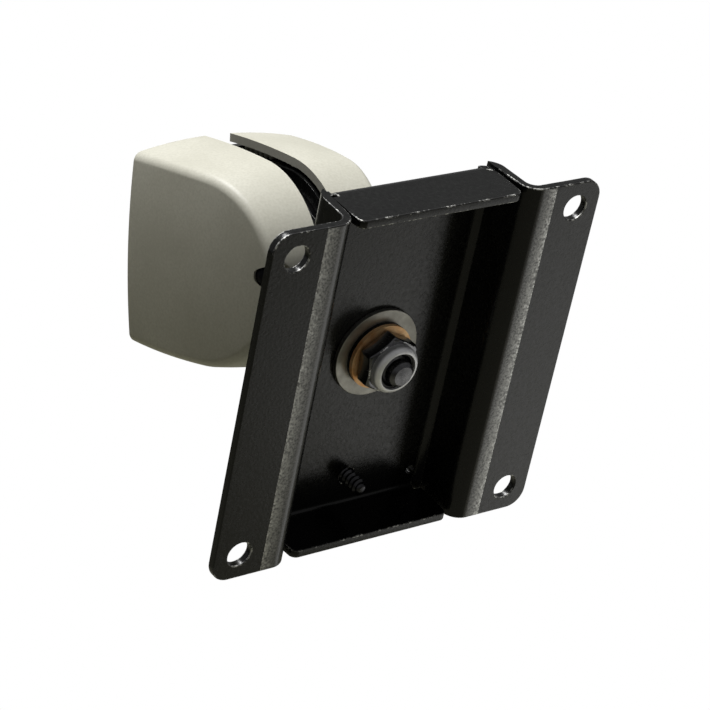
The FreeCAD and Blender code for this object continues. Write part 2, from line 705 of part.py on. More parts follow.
def rounded_block(label, inset):
    # rounded side, swung both ways from the wall about an upright axis
    body = new_body(label)
    tall, bulge = 2 * size("drum_radius"), size("side_radius")
    dip = math.sqrt(bulge ** 2 - tall ** 2)
    low, high = FreeCAD.Vector(dip, -tall, 0), FreeCAD.Vector(dip, tall, 0)
    half_height, middle = "2 * dims.drum_radius", "dims.plan_radius - dims.cover_width / 2"
    section = new_sketch(body, "XZ_Plane", shift="-dims.axle_offset",
                         aside="dims.cover_width / 2 - dims.plan_radius")
    draw(section, [Part.LineSegment(FreeCAD.Vector(0, -tall, 0), low),
                   Part.Arc(low, FreeCAD.Vector(bulge, 0, 0), high),
                   Part.LineSegment(high, FreeCAD.Vector(0, tall, 0)),
                   Part.LineSegment(FreeCAD.Vector(0, tall, 0), FreeCAD.Vector(0, -tall, 0))])
    pin_arc(section, 1, "dims.plan_radius - dims.side_radius", "0", "dims.side_radius - %s" % inset)
    pin_one(section, "DistanceY", 1, 1, "-" + half_height)
    pin_one(section, "DistanceY", 1, 2, half_height)
    pin_point(section, 0, 1, middle, "-" + half_height)
    pin_point(section, 2, 2, middle, half_height)
    revolve(body, section, "V_Axis", "dims.plan_sweep", both=True)
    return body


def joined(kind, label, base, tool):
    feature = doc.addObject("Part::" + kind, label)
    feature.Base = base
    feature.Tool = tool
    doc.recompute()
    return feature


def is_sharp(shape, edge):
    faces = shape.ancestorsOfType(edge, Part.Face)
    if len(faces) != 2:
        return False
    middle = edge.valueAt((edge.FirstParameter + edge.LastParameter) / 2)
    normals = [face.normalAt(*face.Surface.parameter(middle)) for face in faces]
    return math.degrees(normals[0].getAngle(normals[1])) > sharp_turn


def cover_form(label, inset, beyond, edge_radius):
    # the overlap, with the edge between the side and the crowned faces rounded
    form = joined("Common", label + "_form", crowned_form(label + "_crown", inset, beyond),
                  rounded_block(label + "_block", inset))
    slot_side = size("slot_width") / 2 + near
    rounded = doc.addObject("Part::Fillet", label + "_rounded")
    rounded.Base = form
    rounded.Edges = [(k, edge_radius, edge_radius) for k, edge in enumerate(form.Shape.Edges, start=1)
                     if edge.BoundBox.XMax > slot_side and is_sharp(form.Shape, edge)]
    doc.recompute()
    return rounded


def box(label, length, width, height, x, y, z):
    solid = doc.addObject("Part::Box", label)
    for name, formula in (("Length", length), ("Width", width), ("Height", height),
                          ("Placement.Base.x", x), ("Placement.Base.y", y), ("Placement.Base.z", z)):
        solid.setExpression(name, formula)
    return solid


def forward_cylinder(label, radius, start, length):
    # along Y, on the cover screw's axis; start is measured from the axle towards the monitor
    solid = doc.addObject("Part::Cylinder", label)
    solid.Placement = FreeCAD.Placement(FreeCAD.Vector(), FreeCAD.Rotation(FreeCAD.Vector(1, 0, 0), 90))
    solid.setExpression("Radius", radius)
    solid.setExpression("Height", length)
    solid.setExpression("Placement.Base.x", "dims.cover_screw_x")
    solid.setExpression("Placement.Base.y", "-(%s)" % start)
    solid.setExpression("Placement.Base.z", "dims.cover_screw_up")
    return solid


def slot_ribs():
    # short ribs under the skin beside the slot, above and below the axle
    ribs = []
    tall = "dims.drum_radius"
    for foot in ("dims.rib_foot", "-dims.rib_foot - %s" % tall):
        for k in range(int(size("rib_count"))):
            place = "dims.rib_back + (%d - (dims.rib_count - 1) / 2) * dims.rib_pitch" % k
            ribs.append(box("slot_rib", "dims.rib_length", "dims.rib_width", tall,
                            "dims.slot_width / 2 + dims.rib_setback", place, foot))
    return ribs


def fused(label, shapes):
    feature = doc.addObject("Part::MultiFuse", label)
    feature.Shapes = shapes
    doc.recompute()
    return feature


def covers():
    span = "dims.roof_radius"
    room = box("room", span, span, "2 * " + span, "0", "dims.axle_offset - dims.cover_gap - " + span,
               "-" + span)
    skin = joined("Common", "skin", cover_form("skin", "0", "0", size("cover_edge")), room)
    hollow = cover_form("hollow", "dims.cover_wall", "dims.cut_margin",
                        size("cover_edge") - size("cover_wall"))
    shell = joined("Cut", "shell", skin, hollow)
    seat = "dims.cover_head_diameter / 2 + dims.seat_play"
    boss_core = forward_cylinder("boss_core", seat + " + dims.boss_wall", "dims.tab_front",
                                 "dims.drum_radius")
    inside = joined("Common", "inside", skin, fused("inner_forms", [boss_core] + slot_ribs()))
    recess = forward_cylinder("recess", seat, "dims.cover_seat", "dims.drum_radius")
    hole = forward_cylinder("screw_hole", "dims.cover_screw_diameter / 2 + dims.seat_play / 2",
                            "dims.tab_front - dims.cut_margin", "dims.drum_radius")
    moulding = fused("moulding", [shell, inside])
    right = joined("Cut", "right_cover", joined("Cut", "seated", moulding, recess), hole)
    left = doc.addObject("Part::Mirroring", "left_cover")
    left.Source = right
    left.Normal = FreeCAD.Vector(1, 0, 0)
    on_axle(right)
    doc.recompute()
    return [left, right]


nodes = [wall_bracket(), monitor_plate(), tilt_arm(), lock_screw(), cover_screws()]
nodes += pivot_pieces() + axle_pieces() + covers()
doc.recompute()

for item in doc.Objects:
    if "Invalid" in item.State or "Error" in item.State:
        raise RuntimeError("%s failed: %s" % (item.Label, item.State))
for node in nodes:
    if node.Shape.isNull() or not node.Shape.isValid():
        raise RuntimeError("%s has no valid shape" % node.Label)

os.makedirs("parts", exist_ok=True)
for node in nodes:
    node.Shape.exportStep("parts/%s.step" % node.Label)
    print("%-24s %d solids %10.1f mm3" % (node.Label, len(node.Shape.Solids), node.Shape.Volume))
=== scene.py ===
import json
import math

import bpy
from mathutils import Matrix, Vector

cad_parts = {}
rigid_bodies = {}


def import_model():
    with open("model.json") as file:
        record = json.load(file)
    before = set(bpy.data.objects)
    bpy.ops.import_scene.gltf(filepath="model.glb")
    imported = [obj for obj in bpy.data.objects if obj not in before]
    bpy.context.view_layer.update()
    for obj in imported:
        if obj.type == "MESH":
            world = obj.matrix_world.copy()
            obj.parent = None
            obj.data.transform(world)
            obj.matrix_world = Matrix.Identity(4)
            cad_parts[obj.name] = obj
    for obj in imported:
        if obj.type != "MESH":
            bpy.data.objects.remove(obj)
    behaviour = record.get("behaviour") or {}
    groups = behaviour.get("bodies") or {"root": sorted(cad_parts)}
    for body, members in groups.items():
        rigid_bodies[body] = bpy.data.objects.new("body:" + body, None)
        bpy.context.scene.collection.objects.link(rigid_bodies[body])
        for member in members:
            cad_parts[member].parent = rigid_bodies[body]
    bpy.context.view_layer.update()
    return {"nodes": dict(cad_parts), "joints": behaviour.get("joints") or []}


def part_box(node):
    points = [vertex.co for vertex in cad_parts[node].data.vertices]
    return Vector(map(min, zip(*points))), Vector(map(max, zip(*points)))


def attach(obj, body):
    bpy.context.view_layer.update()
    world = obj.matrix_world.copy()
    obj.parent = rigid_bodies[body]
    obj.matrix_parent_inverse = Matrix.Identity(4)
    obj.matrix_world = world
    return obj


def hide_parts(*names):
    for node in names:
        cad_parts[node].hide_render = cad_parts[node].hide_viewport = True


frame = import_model()
mm = 0.001
print("frame loaded:", len(frame["nodes"]), "nodes")

# the plate's own axes: across, along, and ahead along its pivot
plate = {"turn": 2.6, "sheenInner": 26.4, "sheenOuter": 30.9}  # degrees at rest, and the strips of painted sheen, given also as rubbed coat, in mm
pivot = next(joint for joint in frame["joints"] if joint["name"] == "plate_rotation")
pivotPlace, pivotAxis = Vector(pivot["pos_m"]), Vector(pivot["axis"]).normalized()
across = Matrix.Rotation(math.radians(plate["turn"]), 3, pivotAxis) @ Vector((1, 0, 0))
along = pivotAxis.cross(across)
plateTurn = Matrix((across, along, pivotAxis))


# small tools

def deselectAll():
    if bpy.context.mode != "OBJECT":
        bpy.ops.object.mode_set(mode="OBJECT")
    bpy.ops.object.select_all(action="DESELECT")


def makeActive(piece):
    deselectAll()
    piece.select_set(True)
    bpy.context.view_layer.objects.active = piece


def applyModifier(piece, kind, **settings):
    makeActive(piece)
    modifier = piece.modifiers.new(kind.lower(), kind)
    for name, value in settings.items():
        setattr(modifier, name, value)
    bpy.ops.object.modifier_apply(modifier=modifier.name)


def linear(hexColour):  # sRGB hex to the linear colour that a shader wants
    parts = [int(hexColour[k:k + 2], 16) / 255 for k in (1, 3, 5)]
    return [v / 12.92 if v <= 0.04045 else ((v + 0.055) / 1.055) ** 2.4 for v in parts] + [1.0]


def addNode(tree, kind, settings=None, inputs=None, stops=()):
    node = tree.nodes.new(kind)
    for name, value in (settings or {}).items():
        setattr(node, name, value)
    for name, value in (inputs or {}).items():
        if isinstance(value, bpy.types.NodeSocket):
            tree.links.new(value, node.inputs[name])
        else:
            node.inputs[name].default_value = value
    for k, (position, hexColour) in enumerate(stops):
        node.color_ramp.elements[k].position = position
        node.color_ramp.elements[k].color = linear(hexColour)
    return node


def startMaterial(name, **sockets):
    material = bpy.data.materials.new(name)
    material.use_nodes = True
    tree = material.node_tree
    shader = next(node for node in tree.nodes if node.type == "BSDF_PRINCIPLED")
    for key, value in sockets.items():
        shader.inputs[key.replace("_", " ")].default_value = value
    return material, tree, shader


def perMetre(size):  # noise scale for a pattern whose grain is this many millimetres
    return 1.0 / (size * mm)


# materials

def mouldedAbs():  # light grey ABS from a spark-eroded mould: satin, with a very fine even grain
    look = {"tones": ((0.12, "#C9C7B8"), (0.38, "#D8D6C8")), "cloud": 18.0, "grain": 0.6, "relief": 0.05}
    material, tree, shader = startMaterial("mouldedAbsGrey", Roughness=0.5, IOR=1.5)
    place = addNode(tree, "ShaderNodeTexCoord").outputs["Object"]
    cloud = addNode(tree, "ShaderNodeTexNoise",
                    inputs={"Vector": place, "Scale": perMetre(look["cloud"]), "Detail": 3.0})
    grain = addNode(tree, "ShaderNodeTexNoise",
                    inputs={"Vector": place, "Scale": perMetre(look["grain"]), "Detail": 2.0})
    both = addNode(tree, "ShaderNodeMath", {"operation": "MULTIPLY"},
                   {0: cloud.outputs["Fac"], 1: grain.outputs["Fac"]})
    tone = addNode(tree, "ShaderNodeValToRGB", inputs={"Fac": both.outputs[0]}, stops=look["tones"])
    tree.links.new(tone.outputs["Color"], shader.inputs["Base Color"])
    bump = addNode(tree, "ShaderNodeBump", inputs={
        "Strength": 0.12, "Distance": look["relief"] * mm, "Height": grain.outputs["Fac"]})
    tree.links.new(bump.outputs["Normal"], shader.inputs["Normal"])
    return material


def powderCoat():  # charcoal powder coat on steel: fine mottled skin, half matt, slightly uneven gloss
    look = {"tones": ((0.42, "#080808"), (0.98, "#161716")), "mottle": 0.9, "cloud": 9.0, "cloudShare": 0.35,
            "glossy": 0.2, "matt": 0.3, "peel": 0.7, "relief": 0.06}
    material, tree, shader = startMaterial("powderCoatCharcoal", IOR=1.5, Specular_IOR_Level=0.32)
    place = addNode(tree, "ShaderNodeTexCoord").outputs["Object"]
    mottle = addNode(tree, "ShaderNodeTexNoise",
                     inputs={"Vector": place, "Scale": perMetre(look["mottle"]), "Detail": 4.0})
    cloud = addNode(tree, "ShaderNodeTexNoise",
                    inputs={"Vector": place, "Scale": perMetre(look["cloud"]), "Detail": 2.0})
    both = addNode(tree, "ShaderNodeMath", {"operation": "MULTIPLY_ADD"},
                   {0: cloud.outputs["Fac"], 1: look["cloudShare"], 2: mottle.outputs["Fac"]})
    tone = addNode(tree, "ShaderNodeValToRGB", inputs={"Fac": both.outputs[0]}, stops=look["tones"])
    tree.links.new(tone.outputs["Color"], shader.inputs["Base Color"])
    gloss = addNode(tree, "ShaderNodeMapRange", inputs={
        "Value": mottle.outputs["Fac"], "From Min": 0.3, "From Max": 0.7,
        "To Min": look["glossy"], "To Max": look["matt"]})
    tree.links.new(gloss.outputs["Result"], shader.inputs["Roughness"])
    peel = addNode(tree, "ShaderNodeTexNoise",
                   inputs={"Vector": place, "Scale": perMetre(look["peel"]), "Detail": 3.0})
    bump = addNode(tree, "ShaderNodeBump", inputs={
        "Strength": 0.35, "Distance": look["relief"] * mm, "Height": peel.outputs["Fac"]})
    tree.links.new(bump.outputs["Normal"], shader.inputs["Normal"])
    return material


def wornEdge():  # coat rubbed thin on the sheet's edges: grey steel glints between black
    look = {"tones": ((0.0, "#101010"), (1.0, "#B9B9B5")), "patch": 3.2, "fleck": 0.6,
            "coatRough": 0.42, "steelRough": 0.55}
    material, tree, shader = startMaterial("powderCoatWornEdge", IOR=1.5)
    place = addNode(tree, "ShaderNodeTexCoord").outputs["Object"]
    patch = addNode(tree, "ShaderNodeTexNoise",
                    inputs={"Vector": place, "Scale": perMetre(look["patch"]), "Detail": 2.0})
    fleck = addNode(tree, "ShaderNodeTexNoise",
                    inputs={"Vector": place, "Scale": perMetre(look["fleck"]), "Detail": 3.0})
    wear = addNode(tree, "ShaderNodeMath", {"operation": "MULTIPLY"},
                   {0: patch.outputs["Fac"], 1: fleck.outputs["Fac"]})
    bare = addNode(tree, "ShaderNodeMapRange",
                   inputs={"Value": wear.outputs[0], "From Min": 0.24, "From Max": 0.34})
    tone = addNode(tree, "ShaderNodeValToRGB", inputs={"Fac": bare.outputs["Result"]}, stops=look["tones"])
    tree.links.new(tone.outputs["Color"], shader.inputs["Base Color"])
    tree.links.new(bare.outputs["Result"], shader.inputs["Metallic"])
    gloss = addNode(tree, "ShaderNodeMapRange", inputs={
        "Value": bare.outputs["Result"], "To Min": look["coatRough"], "To Max": look["steelRough"]})
    tree.links.new(gloss.outputs["Result"], shader.inputs["Roughness"])
    return material


def foldRubAndSheen():  # painted sheen: a strip beside each fold is painted grey-white and partly metallic to stand in for the fold's highlight, given also as coat rubbed towards grey steel by the folding tool, most at the strip's outer edge
    look = {"tones": ((0.0, "#121212"), (1.0, "#CFCFCB")), "grain": 0.5, "leastGrain": 0.2, "mostBareSheen": 0.7}
    material, tree, shader = startMaterial("powderCoatRubAndPaintedSheen", Roughness=0.26, IOR=1.5)
    place = addNode(tree, "ShaderNodeTexCoord").outputs["Object"]
    side = addNode(tree, "ShaderNodeVectorMath", {"operation": "DOT_PRODUCT"}, {0: place, 1: across})
    centred = addNode(tree, "ShaderNodeMath", {"operation": "SUBTRACT"},
                      {0: side.outputs["Value"], 1: pivotPlace.dot(across)})
    reach = addNode(tree, "ShaderNodeMath", {"operation": "ABSOLUTE"}, {0: centred.outputs[0]})
    sheenBand = addNode(tree, "ShaderNodeMapRange", inputs={
        "Value": reach.outputs[0], "From Min": plate["sheenInner"] * mm, "From Max": plate["sheenOuter"] * mm})
    noise = addNode(tree, "ShaderNodeTexNoise",
                    inputs={"Vector": place, "Scale": perMetre(look["grain"]), "Detail": 3.0})
    grain = addNode(tree, "ShaderNodeMapRange", inputs={
        "Value": noise.outputs["Fac"], "From Min": 0.34, "From Max": 0.68, "To Min": look["leastGrain"]})
    wear = addNode(tree, "ShaderNodeMath", {"operation": "MULTIPLY"},
                   {0: sheenBand.outputs["Result"], 1: grain.outputs["Result"]})
    # painted highlight: the strip's colour runs from the coat's black up to a near-white grey, and its
    # metallic up to 0.7
    tone = addNode(tree, "ShaderNodeValToRGB", inputs={"Fac": wear.outputs[0]}, stops=look["tones"])
    tree.links.new(tone.outputs["Color"], shader.inputs["Base Color"])
    bare = addNode(tree, "ShaderNodeMapRange", inputs={"Value": wear.outputs[0], "To Max": look["mostBareSheen"]})
    tree.links.new(bare.outputs["Result"], shader.inputs["Metallic"])
    return material


def platedSteel(name, dark, light, smooth, scratch):  # metal with dull clouds and fine straight scratches
    look = {"cloud": 3.0, "lineTurn": (0.4, 0.3, 0.9), "lineStretch": (1.0, 0.08, 1.0), "dulling": 0.16,
            "relief": 0.02}
    material, tree, shader = startMaterial(name, Metallic=1.0)
    place = addNode(tree, "ShaderNodeTexCoord").outputs["Object"]
    cloud = addNode(tree, "ShaderNodeTexNoise",
                    inputs={"Vector": place, "Scale": perMetre(look["cloud"]), "Detail": 4.0})
    tone = addNode(tree, "ShaderNodeValToRGB", inputs={"Fac": cloud.outputs["Fac"]},
                   stops=((0.3, dark), (0.7, light)))
    tree.links.new(tone.outputs["Color"], shader.inputs["Base Color"])
    stretched = addNode(tree, "ShaderNodeMapping", inputs={
        "Vector": place, "Rotation": look["lineTurn"], "Scale": look["lineStretch"]})
    line = addNode(tree, "ShaderNodeTexNoise", inputs={
        "Vector": stretched.outputs["Vector"], "Scale": perMetre(scratch), "Detail": 3.0})
    gloss = addNode(tree, "ShaderNodeMapRange", inputs={
        "Value": line.outputs["Fac"], "From Min": 0.3, "From Max": 0.7,
        "To Min": smooth, "To Max": smooth + look["dulling"]})
    tree.links.new(gloss.outputs["Result"], shader.inputs["Roughness"])
    bump = addNode(tree, "ShaderNodeBump", inputs={
        "Strength": 0.2, "Distance": look["relief"] * mm, "Height": line.outputs["Fac"]})
    tree.links.new(bump.outputs["Normal"], shader.inputs["Normal"])
    return material


def nylon():  # black nylon 66: matt, slightly waxy
    look = {"tones": ((0.3, "#101011"), (0.7, "#1C1C1E")), "cloud": 2.0}
    material, tree, shader = startMaterial("nylonBlack", Roughness=0.5, IOR=1.53)
    place = addNode(tree, "ShaderNodeTexCoord").outputs["Object"]
    cloud = addNode(tree, "ShaderNodeTexNoise",
                    inputs={"Vector": place, "Scale": perMetre(look["cloud"]), "Detail": 3.0})
    tone = addNode(tree, "ShaderNodeValToRGB", inputs={"Fac": cloud.outputs["Fac"]}, stops=look["tones"])
    tree.links.new(tone.outputs["Color"], shader.inputs["Base Color"])
    return material


looks = {
    "abs": mouldedAbs(),
    "coat": powderCoat(),
    "edge": wornEdge(),
    "rubAndSheen": foldRubAndSheen(),
    "nylon": nylon(),
    # barrel zinc: grey and clouded
    "zinc": platedSteel("zincPlatedSteel", "#8E8C86", "#B4B2AB", 0.38, 0.25),
    # zinc on a turned collar: nearly white as painted highlight, its shine spread wide
    "paintedLitZinc": platedSteel("paintedLitZincCollar", "#E2E2E4", "#FAFAFA", 0.5, 0.3),
    # zinc on drawn hexagon bar: smooth, its dark colour painted shade for the dark surroundings it mirrors
    "gloss": platedSteel("paintedShadeZincHexagon", "#4E4E50", "#747476", 0.12, 0.3),
    # dark zinc: grey on the bolts' turned ends
    "dark": platedSteel("darkZincSteel", "#464648", "#6E6E70", 0.24, 0.3),
    # blackened screw: dark with small sharp glints
    "screw": platedSteel("blackScrewSteel", "#2C2C2E", "#48484A", 0.18, 0.3),
    # black oxide: nearly black, half matt
    "oxide": platedSteel("blackOxideSteel", "#141415", "#242426", 0.36, 0.3),
    # rolled spring bronze: warm copper brown with a broad shine
    "bronze": platedSteel("springBronze", "#E2A970", "#FAD8AA", 0.48, 0.3),
}
print("materials made:", len(looks))


# CAD nodes: a merged copy with softened edges stands for each one

def mergedCopy(node, name):
    makeActive(frame["nodes"][node])
    bpy.ops.object.duplicate()
    piece = bpy.context.object
    piece.name = name
    bpy.ops.object.parent_clear(type="CLEAR_KEEP_TRANSFORM")
    if piece.data.has_custom_normals:
        bpy.ops.mesh.customdata_custom_splitnormals_clear()
    bpy.ops.object.mode_set(mode="EDIT")
    bpy.ops.mesh.select_all(action="SELECT")
    bpy.ops.mesh.remove_doubles(threshold=0.001 * mm)
    bpy.ops.mesh.dissolve_limited(angle_limit=math.radians(0.4))
    bpy.ops.object.mode_set(mode="OBJECT")
    return piece


def selectFaces(piece, wanted):  # selects the faces whose points all pass a test
    makeActive(piece)
    bpy.ops.object.mode_set(mode="EDIT")
    bpy.ops.mesh.select_mode(type="FACE")
    bpy.ops.mesh.select_all(action="DESELECT")
    bpy.ops.object.mode_set(mode="OBJECT")
    for face in piece.data.polygons:
        face.select = all(wanted(piece.data.vertices[k].co) for k in face.vertices)
    bpy.ops.object.mode_set(mode="EDIT")


def bevelSharp(piece, wanted, degrees, **settings):  # bevels the sharp edges whose points pass a test
    makeActive(piece)
    bpy.ops.object.mode_set(mode="EDIT")
    bpy.ops.mesh.select_mode(type="EDGE")
    bpy.ops.mesh.select_all(action="DESELECT")
    bpy.ops.mesh.edges_select_sharp(sharpness=math.radians(degrees))
    bpy.ops.object.mode_set(mode="OBJECT")
    points = piece.data.vertices
    for edge in piece.data.edges:
        edge.select = edge.select and all(wanted(points[k].co) for k in edge.vertices)
    bpy.ops.object.mode_set(mode="EDIT")
    bpy.ops.mesh.bevel(affect="EDGES", **settings)
    bpy.ops.object.mode_set(mode="OBJECT")


def onPlate(point):  # a place in the plate's own millimetres: across, along and ahead of the flanges
    return plateTurn @ (point - pivotPlace) / mm


def closeNotches(piece):  # the corner reliefs hardly reach past the lips, so their feet are drawn out
    notch = {"foot": 39.8, "play": 0.02, "fill": 3.0, "inner": 20.0, "ahead": -8.0}
    for end in (-1, 1):
        def atFoot(point):
            side, up, ahead = onPlate(point)
            return (abs(end * up - notch["foot"]) < notch["play"] and ahead < notch["ahead"]
                    and abs(side) > notch["inner"])

        selectFaces(piece, atFoot)
        bpy.ops.mesh.extrude_region_move(TRANSFORM_OT_translate={"value": along * (end * notch["fill"] * mm)})
        bpy.ops.object.mode_set(mode="OBJECT")


def markFoldSheen(piece, sheenIndex):  # a strip of painted sheen beside each web, given also as coat rubbed by the folding tool
    facing = 0.25  # a front face's normal has at least this much of the pivot's direction
    for side in (-1, 1):
        for edge in (plate["sheenInner"], plate["sheenOuter"]):
            makeActive(piece)
            bpy.ops.object.mode_set(mode="EDIT")
            bpy.ops.mesh.select_all(action="SELECT")
            bpy.ops.mesh.bisect(plane_co=pivotPlace + across * (side * edge * mm), plane_no=across)
            bpy.ops.object.mode_set(mode="OBJECT")
    for face in piece.data.polygons:
        inStrip = plate["sheenInner"] < abs(onPlate(face.center).x) < plate["sheenOuter"]
        if inStrip and face.normal.dot(pivotAxis) > facing:
            face.material_index = sheenIndex


def softenPlate(piece, edgeIndex):  # the sheet's outline is worn round, but not its reliefs and hang hole
    wear = {"width": 0.3, "rings": 2, "sharp": 35, "notchInner": 19.6, "notchOuter": 26.0, "notchAlong": 38.0,
            "notchAhead": -11.0, "hangHole": (19.0, -36.8), "hangReach": 2.4,
            "sideAcross": 43.0, "sideAlong": 38.5}

    def isOutline(point):
        side, up, ahead = onPlate(point)
        inNotch = (wear["notchInner"] < abs(side) < wear["notchOuter"] and abs(up) > wear["notchAlong"]
                   and ahead < wear["notchAhead"])
        hang = Vector((side, up)) - Vector(wear["hangHole"])
        return not inNotch and hang.length > wear["hangReach"]

    bevelSharp(piece, isOutline, wear["sharp"], offset=wear["width"] * mm, segments=wear["rings"],
               clamp_overlap=False, material=edgeIndex)
    for face in piece.data.polygons:  # the upright side edges keep their coat
        place = onPlate(face.center)
        if abs(place.x) > wear["sideAcross"] and abs(place.y) < wear["sideAlong"]:
            face.material_index = 0


def rollCollar(piece):  # the collar's turned chamfer is rolled round over the insert
    roll = {"foot": 1.2, "width": 0.44, "rings": 5, "sharp": 30, "inner": 4.9, "outer": 6.0}
    front = max(vertex.co.dot(pivotAxis) for vertex in piece.data.vertices)

    def onRim(point):
        out = point - pivotPlace
        radius = (out - out.dot(pivotAxis) * pivotAxis).length / mm
        return (front - point.dot(pivotAxis)) / mm < roll["foot"] and roll["inner"] < radius < roll["outer"]

    bevelSharp(piece, onRim, roll["sharp"], offset=roll["width"] * mm, segments=roll["rings"])


def paintCollarHighlight(piece, highlightIndex):  # painted light: on one plated nut, the rolled collar gets near-white zinc as painted highlight and the hexagon behind it dark glossy zinc as painted shade
    collarLength = 2.25
    front = max(vertex.co.dot(pivotAxis) for vertex in piece.data.vertices)
    for face in piece.data.polygons:
        if (front - face.center.dot(pivotAxis)) / mm < collarLength:
            face.material_index = highlightIndex


def shadeRearSpring(piece, shadeIndex):  # painted shade: the rear spring gets near-black oxide to stand in for the shadow between washer and front spring, so only the front one shows its bronze
    margin = 0.1
    depths = [face.center.dot(pivotAxis) for face in piece.data.polygons]
    middle = (min(depths) + max(depths)) / 2
    for face, depth in zip(piece.data.polygons, depths):
        face.material_index = shadeIndex if depth < middle - margin * mm else 0


def dressNode(node, settings):
    soft = {"rings": 2, "sharp": 35, "smooth": 32, "weight": 50}  # angles in degrees
    piece = mergedCopy(node, settings["name"])
    piece.data.materials.clear()
    for key in settings["looks"]:
        piece.data.materials.append(looks[key])
    for face in piece.data.polygons:
        face.material_index = 0
    for edit, *finishes in settings.get("edits", []):
        edit(piece, *(settings["looks"].index(finish) for finish in finishes))
    if "bevel" in settings:
        applyModifier(piece, "BEVEL", width=settings["bevel"] * mm, segments=soft["rings"],
                      limit_method="ANGLE", angle_limit=math.radians(soft["sharp"]),
                      use_clamp_overlap=settings.get("clamp", True), material=settings.get("edgeLook", -1))
    makeActive(piece)
    bpy.ops.object.shade_smooth_by_angle(angle=math.radians(soft["smooth"]))
    applyModifier(piece, "WEIGHTED_NORMAL", weight=soft["weight"], keep_sharp=True)  # flat faces stay flat
    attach(piece, settings["body"])
    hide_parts(node)
    return piece


dressed = {
    "monitor_plate": {"name": "monitorPlate", "body": "plate", "slot": "black_powder_coat",
                      "looks": ["coat", "edge", "rubAndSheen"],
                      "edits": [(closeNotches,), (markFoldSheen, "rubAndSheen"), (softenPlate, "edge")]},
    "tilt_arm": {"name": "tiltArm", "body": "arm", "slot": "black_powder_coat",
                 "looks": ["coat", "edge"], "bevel": 0.3, "edgeLook": 1, "clamp": False},
    "left_cover": {"name": "leftCover", "body": "wall", "slot": "grey_plastic",
                   "looks": ["abs"], "bevel": 0.25},
    "right_cover": {"name": "rightCover", "body": "wall", "slot": "grey_plastic",
                    "looks": ["abs"], "bevel": 0.25},
    "wall_bracket": {"name": "wallBracket", "body": "wall", "slot": "black_powder_coat",
                     "looks": ["coat"], "bevel": 0.25},
    "pivot_flat_washer": {"name": "pivotFlatWasher", "body": "arm", "slot": "zinc_steel",
                          "looks": ["zinc"], "bevel": 0.2},
    # painted shade: the rear disc spring is near-black oxide
    "pivot_disc_springs": {"name": "pivotDiscSprings", "body": "arm", "slot": "spring_bronze",
                           "looks": ["bronze", "oxide"], "edits": [(shadeRearSpring, "oxide")], "bevel": 0.28},
    # painted light: the nut's collar carries painted highlight, its hexagon painted shade
    "pivot_lock_nut": {"name": "pivotLockNut", "body": "arm", "slot": "zinc_steel",
                       "looks": ["gloss", "paintedLitZinc"], "edits": [(rollCollar,), (paintCollarHighlight, "paintedLitZinc")],
                       "bevel": 0.12},
    "pivot_bolt": {"name": "pivotBolt", "body": "arm", "slot": "dark_zinc_steel",
                   "looks": ["dark"], "bevel": 0.12},
    "tilt_bolt": {"name": "tiltBolt", "body": "wall", "slot": "dark_zinc_steel",
                  "looks": ["dark"], "bevel": 0.12},
    # painted highlight: the whole tilt nut gets the near-white collar zinc
    "tilt_lock_nut": {"name": "tiltLockNut", "body": "wall", "slot": "zinc_steel",
                      "looks": ["paintedLitZinc"], "bevel": 0.15},
    "tilt_flat_washers": {"name": "tiltFlatWashers", "body": "wall", "slot": "zinc_steel",
                          "looks": ["zinc"], "bevel": 0.2},
    "tilt_disc_springs": {"name": "tiltDiscSprings", "body": "wall", "slot": "spring_bronze",
                          "looks": ["bronze"], "bevel": 0.15},
    "tilt_friction_washers": {"name": "tiltFrictionWashers", "body": "wall", "slot": "black_nylon",
                              "looks": ["nylon"], "bevel": 0.15},
    "pivot_shoulder_washer": {"name": "pivotShoulderWasher", "body": "plate", "slot": "black_nylon",
                              "looks": ["nylon"], "bevel": 0.12},
    "arm_bush": {"name": "armBush", "body": "arm", "slot": "black_nylon", "looks": ["nylon"], "bevel": 0.12},
    "pivot_nut_insert": {"name": "pivotNutInsert", "body": "arm", "slot": "black_nylon",
                         "looks": ["nylon"], "bevel": 0.1},
    "tilt_nut_insert": {"name": "tiltNutInsert", "body": "wall", "slot": "black_nylon",
                        "looks": ["nylon"], "bevel": 0.1},
    "cover_screws": {"name": "coverScrews", "body": "wall", "slot": "black_oxide_steel",
                     "looks": ["oxide"], "bevel": 0.15},
}
for node, settings in dressed.items():
    piece = dressNode(node, settings)
    print("dressed", node, "with", len(piece.data.polygons), "faces")


# lock screw: a plain core with its coarse thread wound on

